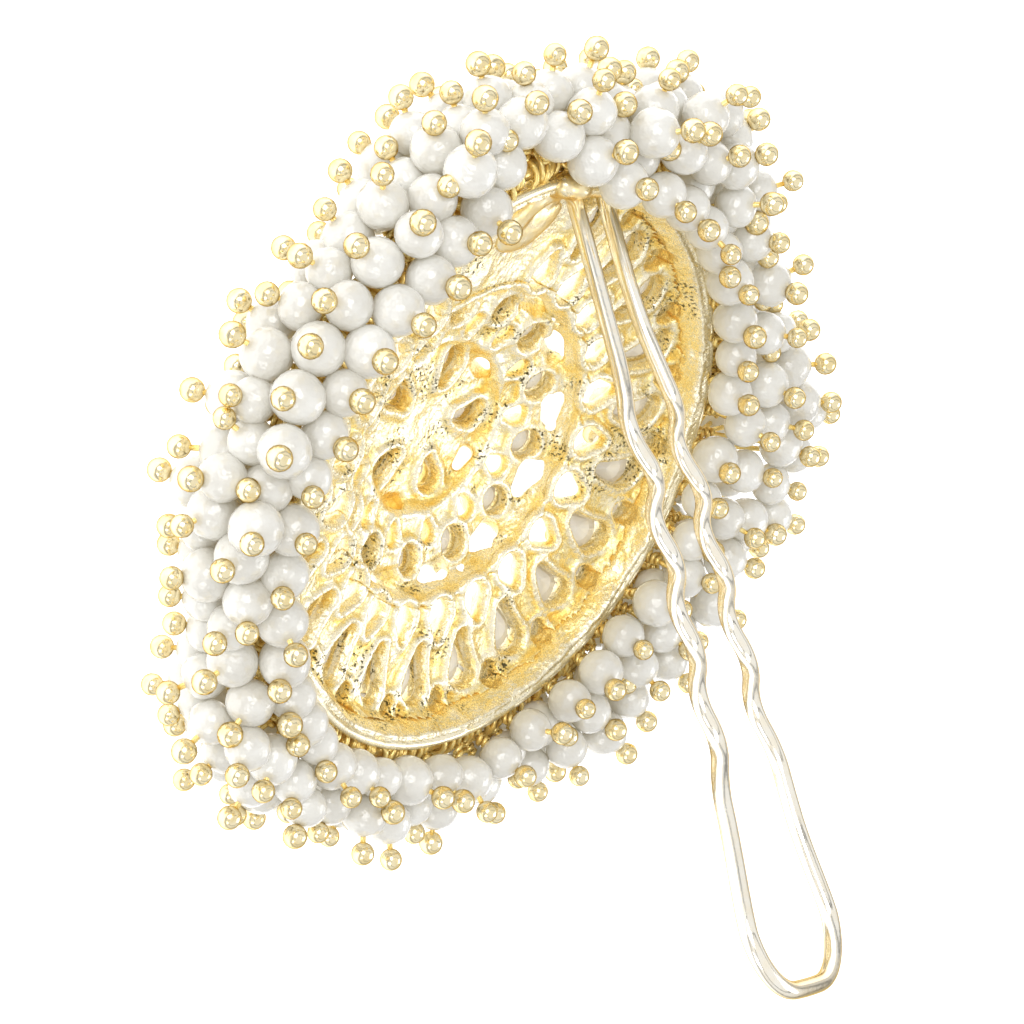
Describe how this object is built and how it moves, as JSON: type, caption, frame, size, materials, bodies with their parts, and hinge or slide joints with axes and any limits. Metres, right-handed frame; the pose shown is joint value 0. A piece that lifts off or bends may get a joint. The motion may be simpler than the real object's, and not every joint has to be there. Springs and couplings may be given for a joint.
{
  "type": "hair bun pin",
  "caption": "Round hair bun pin: a pierced cast dome with set stones, a fringe of pearls on ball-head pins round its rim, and a wavy wire hairpin soldered inside.",
  "frame": {"origin": "on the table under the middle of the dome, as the piece lies face down on its lowest ball heads", "axes": "+Z out of the hair side, square to the rim; +Y from the middle of the dome towards the solder that holds the hairpin; +X to the side"},
  "size_m": [0.0774, 0.077, 0.0619],
  "materials": {
    "gold_casting": "granular cast metal with bright pale gold plating",
    "gold_wire": "drawn wire with polished ball heads, gold plated",
    "champagne_wire": "polished spring wire, pale gold plated",
    "pearl": "ivory pearl lustre, slightly uneven",
    "crystal": "clear faceted stone"
  },
  "bodies": {
    "root": {"casting_and_hairpin": "gold_casting", "outer_stones": "crystal", "middle_stones": "crystal", "hub_stones": "crystal", "ball_head_pins": "gold_wire", "pearls_back": "pearl", "pearls_front": "pearl"}
  },
  "joints": []
}
